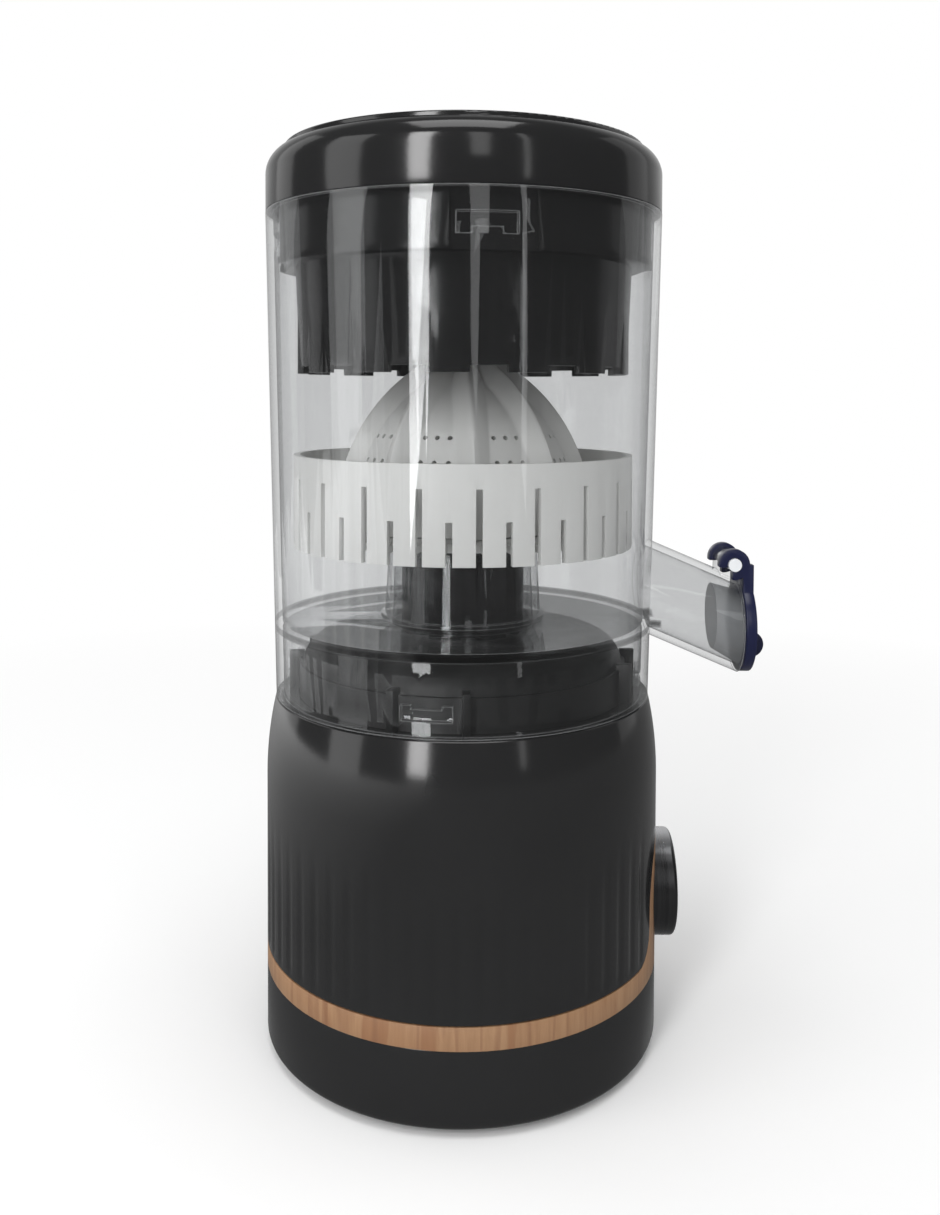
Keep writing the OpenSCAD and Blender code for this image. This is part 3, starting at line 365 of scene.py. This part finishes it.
# %% Every solid gets the finish that the record names for it
slot_of = {part["node"]: part["material_slot"] for part in frame["record"]["subparts"]}
for node, solid in node_of.items():
    solid.data.materials.clear()
    solid.data.materials.append(finishes[slot_of[node]])
print("solids with a finish:", len(slot_of))

# %% [markdown]
# ## Softened edges
# No moulded edge is razor sharp: a small round catches a line of light along it, and that line is what
# makes a picture look real. A solid's own mesh stays untouched, so a copy of it is merged, its flat faces
# are joined, and its sharp edges are bevelled. The copy then stands for the solid.


# %% From a bmesh to a finished piece
def finished(shape, name, node, sharp=38.0):
    """Turn a bmesh into the piece that stands for one solid, with its finish and its body."""
    mesh = bpy.data.meshes.new(name)
    shape.to_mesh(mesh)
    shape.free()
    mesh.materials.append(finishes[slot_of[node]])
    mesh.shade_smooth()
    mesh.set_sharp_from_angle(angle=math.radians(sharp))
    piece = bpy.data.objects.new(name, mesh)
    bpy.context.scene.collection.objects.link(piece)
    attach(piece, node_of[node]["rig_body"])
    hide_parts(node)
    print(name, "has", len(mesh.polygons), "faces")
    return piece


# %% A bevelled copy that stands for a solid
def softened(node, width, sharp=30.0, segments=2):
    shape = bmesh.new()
    shape.from_mesh(node_of[node].data)
    bmesh.ops.remove_doubles(shape, verts=shape.verts, dist=0.000002)
    bmesh.ops.dissolve_limit(shape, angle_limit=math.radians(0.6), verts=shape.verts, edges=shape.edges,
                             delimit={"NORMAL"})
    hard = [e for e in shape.edges if len(e.link_faces) == 2 and e.calc_face_angle(0) > math.radians(sharp)]
    bmesh.ops.bevel(shape, geom=hard, offset=width, offset_type="OFFSET", affect="EDGES", segments=segments,
                    profile=0.5, material=-1, clamp_overlap=True)
    return finished(shape, node + "_soft", node)


soft_widths = {
    "wood_trim": 0.0002,
    "base_bowl": 0.0003,
    "button_cap": 0.0003,
    "spout_flap": 0.0005,
    "drive_hub": 0.0003,
    "drive_deck": 0.0003,
    "strainer_basket": 0.0002,
    "press_cup": 0.0004,
    "juice_cup": 0.0003,
    "lid_cap": 0.0003,
}
soft = {node: softened(node, width) for node, width in soft_widths.items()}
satin = moulded("satin black plastic", (0.006, 0.006, 0.0061), 0.42, skin=0.000003)
soft["drive_deck"].data.materials[0] = satin
print("softened pieces:", len(soft))

# %% [markdown]
# ## The fluted housing
# The housing is a drum with sixty shallow flutes that fade out under the shoulder. Its section is drawn
# once as a closed outline, outside and inside, and spun round the axis in narrow steps, so that no seam or
# pole is left open. Then each point of the outside moves inwards by a wave that repeats every six degrees,
# except beside the button. Moving points of one fine mesh gives flutes that melt into the wall, which a
# cutter with a hard end can't do.

# %% Section of the housing, in millimetres
# The sizes of the solid: its wall, the seat of the band, and the levels from the liner's foot to the ledge
base_r = 57.4
wall = 2.4
band_t = 2.2
band_gap = 0.15
chamfer = 0.3
liner_foot = 22.5
foot = 28.8
liner_top = 66.1
shoulder = 77.5
ledge = 100.2
ledge_t = 5.0
ledge_hole_r = 48.3
shoulder_arc_r = 98.7

arc_centre = base_r - shoulder_arc_r
band_seat_r = base_r - band_t - band_gap
liner_r = base_r - band_t - wall


def shoulder_r(z, inset=0.0):
    return arc_centre + math.sqrt((shoulder_arc_r - inset) ** 2 - (z - shoulder) ** 2)


# Rings of points up the wall, close together where the flutes fade in and out
wall_levels = [29.1, 30.2, 31.4, 32.6, 34, 40, 46, 52, 55, 58, 61, 64, 67, 70, 73]
arc_steps = 12
arc_h = ledge - chamfer - shoulder
arc_levels = [shoulder + arc_h * k / arc_steps for k in range(arc_steps + 1)]
under_ledge = ledge - ledge_t
inner_arc_z = 88
ledge_r = 54.5

housing_outline = [(band_seat_r, foot), (base_r - chamfer, foot)]
housing_outline += [(base_r, z) for z in wall_levels]
housing_outline += [(shoulder_r(z), z) for z in arc_levels]
housing_outline += [(ledge_r, ledge), (ledge_hole_r, ledge)]
housing_outline += [(ledge_hole_r, under_ledge), (shoulder_r(under_ledge, wall), under_ledge)]
housing_outline += [(shoulder_r(inner_arc_z, wall), inner_arc_z), (base_r - wall, shoulder)]
housing_outline += [(base_r - wall, liner_top), (liner_r, liner_top), (liner_r, liner_foot)]
housing_outline += [(band_seat_r, liner_foot)]


def spun(outline, steps):
    """Spin a closed outline of radius and height, in millimetres, round the upright axis."""
    shape = bmesh.new()
    points = [shape.verts.new((r / 1000, 0, z / 1000)) for r, z in outline]
    edges = [shape.edges.new(pair) for pair in zip(points, points[1:] + points[:1])]
    bmesh.ops.spin(shape, geom=points + edges, cent=(0, 0, 0), axis=(0, 0, 1), angle=math.tau, steps=steps,
                   use_merge=True)
    bmesh.ops.remove_doubles(shape, verts=shape.verts, dist=0.000001)
    bmesh.ops.recalc_face_normals(shape, faces=shape.faces)
    return shape


drum_steps = 720
drum = spun(housing_outline, drum_steps)
print("housing:", len(drum.verts), "points, volume", round(drum.calc_volume(signed=True) * 1e6, 1), "ml")


# %% Sixty flutes that fade out upwards
def fade(value, start, end):
    """0 before start, 1 after end, and a smooth step between them."""
    share = min(1.0, max(0.0, (value - start) / (end - start)))
    return share * share * (3 - 2 * share)


flute_count = 60
flute_depth = 0.32
flute_share = 0.25
flute_power = 1.2
foot_fade = (29.8, 31.4)
top_fade = (50, 71)
plain_by_button = 27


def flute(angle, z):
    """Depth of the flutes at one place of the wall."""
    if abs(math.degrees(angle)) < plain_by_button:
        return 0.0
    wave = max(0.0, math.cos(flute_count * angle) + flute_share) / (1 + flute_share)
    return flute_depth * wave ** flute_power * fade(z, *foot_fade) * (1 - fade(z, *top_fade))


fluted = 0
for point in drum.verts:
    x, y, z = point.co * 1000
    radius = math.hypot(x, y)
    if radius > base_r - 0.01:
        share = 1 - flute(math.atan2(y, x), z) / radius
        point.co.x *= share
        point.co.y *= share
        fluted += share < 1
print("points moved for the flutes:", fluted)

# %% [markdown]
# ## A pocket for the wooden arch
# The wood lies flush with the housing, so the housing needs a pocket of the arch's outline round the
# button. The outline is one face, pulled through the wall, and a Boolean takes it away. The Boolean is
# applied at once, which leaves a plain mesh behind.


# %% Take one mesh from another
def taken_from(shape, cutter):
    pieces = []
    for name, source in (("kept", shape), ("cutter", cutter)):
        mesh = bpy.data.meshes.new(name)
        source.to_mesh(mesh)
        source.free()
        pieces.append(bpy.data.objects.new(name, mesh))
        bpy.context.scene.collection.objects.link(pieces[-1])
    kept, tool = pieces
    cut = kept.modifiers.new("cut", "BOOLEAN")
    cut.operation, cut.solver, cut.object = "DIFFERENCE", "EXACT", tool
    mesh = bpy.data.meshes.new_from_object(kept.evaluated_get(bpy.context.evaluated_depsgraph_get()))
    result = bmesh.new()
    result.from_mesh(mesh)
    for piece in pieces:
        spare = piece.data
        bpy.data.objects.remove(piece)
        bpy.data.meshes.remove(spare)
    bpy.data.meshes.remove(mesh)
    return result


def arc(centre, radius, start, end, steps):
    angles = [math.radians(start + (end - start) * k / steps) for k in range(steps + 1)]
    return [(centre[0] + radius * math.cos(a), centre[1] + radius * math.sin(a)) for a in angles]


arch_z = 41.6
arch_r = 21.5 + band_gap
fillet_r = 8.5 - band_gap
fillet_y = arch_r + fillet_r
fillet_z = foot + fillet_r + band_gap
pocket_foot = 15
pocket_x, pocket_depth = 0.045, 0.02

arch_outline = [(-fillet_y, pocket_foot), (fillet_y, pocket_foot)]
arch_outline += arc((fillet_y, fillet_z), fillet_r, -90, -180, 12)
arch_outline += arc((0, arch_z), arch_r, 0, 180, 60)
arch_outline += arc((-fillet_y, fillet_z), fillet_r, 0, -90, 12)
pocket = bmesh.new()
rim = [pocket.verts.new((pocket_x, y / 1000, z / 1000)) for y, z in arch_outline]
pulled = bmesh.ops.extrude_face_region(pocket, geom=[pocket.faces.new(rim)])
moved = [item for item in pulled["geom"] if isinstance(item, bmesh.types.BMVert)]
bmesh.ops.translate(pocket, verts=moved, vec=(pocket_depth, 0, 0))
bmesh.ops.recalc_face_normals(pocket, faces=pocket.faces)
finished(taken_from(drum, pocket), "fluted_housing", "base_housing", sharp=32)

# %% [markdown]
# ## The reamer
# The reamer is a dome with nine ridges. Between them the juice runs down smooth valleys to rows of small
# drain holes. The dome is spun as a thin shell, then its outside is pushed out along its own slope into
# ridges with a rounded crest, and all the holes are taken out in one Boolean. The socket that fits over the
# drive hub is a ring inside the dome.

# %% Shell of the reamer
dome = {"arc_x": -14.4, "arc_z": 151.5, "core_r": 48.2, "wall": 2.2, "foot": 148.7, "foot_r": 37.6}


def dome_arc(radius, steps):
    low = math.asin((dome["foot"] - dome["arc_z"]) / radius)
    top = math.acos(-dome["arc_x"] / radius)
    slopes = [low + (top - low) * k / steps for k in range(steps + 1)]
    points = [(dome["arc_x"] + radius * math.cos(a), dome["arc_z"] + radius * math.sin(a)) for a in slopes]
    return points[:-1] + [(0.0, points[-1][1])]


dome_steps, outside_steps, inside_steps = 324, 44, 20
outside = dome_arc(dome["core_r"], outside_steps)
inside = dome_arc(dome["core_r"] - dome["wall"], inside_steps)
shell = spun(outside + inside[::-1], dome_steps)
print("reamer shell:", len(shell.verts), "points")

# %% Nine ridges
# Millimetres, with the first ridge in degrees and the tip as a share of the rise
ridges = {"count": 9, "first": -84.5, "rise": 4.0, "flank": 4.3, "round": 0.1, "tip": 0.96}
flank_fade = (-6, 14)
tip_fade = (2.5, 7.5)


def ridge(angle, radius):
    """Height of the ridges over the core at one place of the dome."""
    period = math.tau / ridges["count"]
    from_first = angle - math.radians(ridges["first"])
    from_crest = abs((from_first + period / 2) % period - period / 2) * radius
    flank = ridges["flank"] * fade(radius, *flank_fade)
    crest = 1 + ridges["round"] - math.hypot(from_crest / flank, ridges["round"])
    return ridges["rise"] * max(0.0, crest, ridges["tip"] * (1 - fade(radius, *tip_fade)))


for point in shell.verts:
    x, y, z = point.co * 1000
    radius = math.hypot(x, y)
    from_arc = math.hypot(radius - dome["arc_x"], z - dome["arc_z"])
    if from_arc > dome["core_r"] - 0.05:
        grown = 1 + ridge(math.atan2(y, x), radius) / from_arc
        on_axis = radius < 0.01
        out = 0.0 if on_axis else dome["arc_x"] + (radius - dome["arc_x"]) * grown
        height = dome["arc_z"] + (z - dome["arc_z"]) * grown
        share = 0.0 if on_axis else min(out, dome["foot_r"]) / radius
        point.co = (point.co.x * share, point.co.y * share, max(height, dome["foot"]) / 1000)
print("highest point of the reamer:", round(max(point.co.z for point in shell.verts), 4))

# %% Drain holes in the valleys
# The drill in metres, then degrees from the middle of a valley, then height and radius in millimetres
drain_r, drain_depth, drain_tilt = 0.0007, 0.009, 0.35
drain_sides = (-7.4, 0, 7.4)
drain_rows = ((175.4, 27.4), (168.7, 30.6))


def drill(drills, angle, height, radius):
    outwards = Vector((math.cos(angle), math.sin(angle), drain_tilt))
    turn = outwards.to_track_quat("Z", "Y").to_matrix().to_4x4()
    spot = Vector((radius * math.cos(angle), radius * math.sin(angle), height)) / 1000
    bmesh.ops.create_cone(drills, cap_ends=True, segments=12, radius1=drain_r, radius2=drain_r,
                          depth=drain_depth, matrix=Matrix.Translation(spot) @ turn)


drills = bmesh.new()
valley_turn = 360 / ridges["count"]
for valley in range(ridges["count"]):
    middle = ridges["first"] + valley_turn * (valley + 0.5)
    for side in drain_sides:
        for height, radius in drain_rows:
            drill(drills, math.radians(middle + side), height, radius)
ridged = taken_from(shell, drills)
print("drain holes:", ridges["count"] * len(drain_sides) * len(drain_rows))

# %% The socket inside, and the finished reamer
socket_in, socket_out = 15.3, 17.8
socket_foot, socket_top = 149.0, 178.0
socket_outline = [(socket_in, socket_foot), (socket_out, socket_foot)]
socket_outline += [(socket_out, socket_top), (socket_in, socket_top)]
socket = spun(socket_outline, 96)
collar = bpy.data.meshes.new("collar")
socket.to_mesh(collar)
socket.free()
ridged.from_mesh(collar)
bpy.data.meshes.remove(collar)
finished(ridged, "ridged_reamer", "reamer_cone", sharp=45)

# %% [markdown]
# ## The floor and the light
# The juicer stands on a plain white floor that brightens into the background. Tall soft lights stand round
# it, as in a product studio: round black plastic has hardly any colour of its own, and shows as bands of
# reflected light.
#
# The juicer's glossy sides see the floor differently. There it is dim, as under a tabletop light, and
# brightens towards the left, so that the mirrored floor doesn't wash the black plastic out.


# %% Floor
floor_r = 0.9


def floor_finish():
    finish = Finish("white floor")
    dim_from, dim_to = 0.13, 0.9
    coordinates = finish.node("TexCoord", out="Object")
    from_middle = finish.node("VectorMath", {"operation": "LENGTH"}, {0: coordinates}, out="Value")
    outwards = finish.node("MapRange", None, {"Value": from_middle, "From Min": 0.1, "From Max": 0.62})
    matt = finish.node("BsdfPrincipled", None, {"Base Color": (0.86, 0.86, 0.86, 1), "Roughness": 0.9})
    glow = finish.node("Emission", None, {"Color": (1, 1, 1, 1), "Strength": 1.0})
    along_x = finish.node("SeparateXYZ", None, {0: coordinates})
    leftwards = (along_x * -1 - dim_from) / (dim_to - dim_from)
    dim_colour = between(finish, leftwards, (0.2, 0.2, 0.2), (2.05, 2.05, 2.05))
    dim = finish.node("Emission", None, {"Color": dim_colour, "Strength": 1.0})
    pale = finish.node("MixShader", None, {0: outwards, 1: matt, 2: glow})
    in_gloss = finish.node("LightPath", out="Is Glossy Ray")
    return finish.close(finish.node("MixShader", None, {0: in_gloss, 1: pale, 2: dim}))


shape = bmesh.new()
bmesh.ops.create_circle(shape, cap_ends=True, segments=96, radius=floor_r)
floor_mesh = bpy.data.meshes.new("floor")
shape.to_mesh(floor_mesh)
shape.free()
floor_mesh.materials.append(floor_finish())
floor = bpy.data.objects.new("floor", floor_mesh)
bpy.context.scene.collection.objects.link(floor)
print("floor radius", floor_r, "m")


# %% Lights
def softbox(name, azimuth, height, distance, width, tall, radiance):
    """A soft light at an angle from the viewer's side, turned to the middle of the juicer."""
    light = bpy.data.lights.new(name, "AREA")
    light.shape = "RECTANGLE"
    light.size, light.size_y = width, tall
    light.energy = radiance * math.pi * width * tall
    lamp = bpy.data.objects.new(name, light)
    angle = math.radians(azimuth)
    lamp.location = (distance * math.sin(angle), -distance * math.cos(angle), height)
    aim = Vector((0, 0, 0.15)) - lamp.location
    lamp.rotation_euler = aim.to_track_quat("-Z", "Y").to_euler()
    lamp.visible_camera = False
    bpy.context.scene.collection.objects.link(lamp)


# name, azimuth in degrees, height, distance, width and height of the light in metres, radiance
studio = [
    ("key strip", -23.5, 0.55, 1.2, 0.25, 1.1, 10.5),
    ("left panel", -68, 0.5, 1.2, 0.5, 1.2, 1.7),
    ("front right strip", 9, 0.75, 1.3, 0.24, 0.8, 1.8),
    ("right strip", 34, 0.55, 1.2, 0.07, 1.0, 2.0),
    ("right panel", 112, 0.5, 1.1, 0.45, 1.2, 0.35),
    ("back left panel", -118, 0.5, 1.1, 0.4, 1.2, 0.7),
    ("back window", -173, 0.36, 1.2, 0.22, 0.24, 1.3),
    ("top panel", 0, 1.3, 0.25, 0.7, 0.7, 3.0),
]
for row in studio:
    softbox(*row)
print("lights:", len(studio))

# %% World: white behind the juicer, soft light all round, and a dim room in its reflections
world = bpy.data.worlds.new("studio")
bpy.context.scene.world = world
world.use_nodes = True
room = world.node_tree
room.nodes.clear()


def world_node(kind, out, **sockets):
    made = room.nodes.new("ShaderNode" + kind)
    for key, value in sockets.items():
        socket = made.inputs[int(key[1:])]
        if isinstance(value, bpy.types.NodeSocket):
            room.links.new(value, socket)
        else:
            socket.default_value = value
    return made.outputs[out]


def backdrop(brightness):
    return world_node("Background", 0, _0=(brightness, brightness, brightness, 1))


dim_room, pale_wall, soft_light, background = 0.1, 0.6, 0.7, 1.0
wall_from, wall_to = 0.35, 0.85
ray = room.nodes.new("ShaderNodeLightPath")
side = world_node("SeparateXYZ", "Y", _0=world_node("TexCoord", "Generated"))
behind = world_node("MapRange", 0, _0=side, _1=wall_from, _2=wall_to)
gloss = world_node("MixShader", 0, _0=behind, _1=backdrop(dim_room), _2=backdrop(pale_wall))
lit = world_node("MixShader", 0, _0=ray.outputs["Is Glossy Ray"], _1=backdrop(soft_light), _2=gloss)
shown = world_node("MixShader", 0, _0=ray.outputs["Is Camera Ray"], _1=lit, _2=backdrop(background))
world_output = room.nodes.new("ShaderNodeOutputWorld")
room.links.new(shown, world_output.inputs["Surface"])
bpy.context.scene.view_settings.view_transform = "Standard"
print("world nodes:", len(room.nodes))

# %% [markdown]
# ## The camera
# A phone held close, a little below the lid: near enough for the rims to open into wide curves. Its lens is
# short, and the picture is cut lower than the lens points, which the vertical shift says.

# %% Camera
# Angles in radians, places in metres, the lens and its sensor in millimetres
look_down, roll = 0.0316889, -0.0039
lens = bpy.data.cameras.new("camera")
lens.lens = 33.68
lens.sensor_width = 36.0
lens.shift_x = -0.0015
lens.shift_y = -0.1486
lens.clip_start = 0.01
camera = bpy.data.objects.new("camera", lens)
camera.location = (0.0025, -0.3374, 0.1883)
camera.rotation_euler = (math.pi / 2 - look_down, roll, 0.0)
bpy.context.scene.collection.objects.link(camera)
bpy.context.scene.camera = camera
print("camera at", tuple(camera.location))
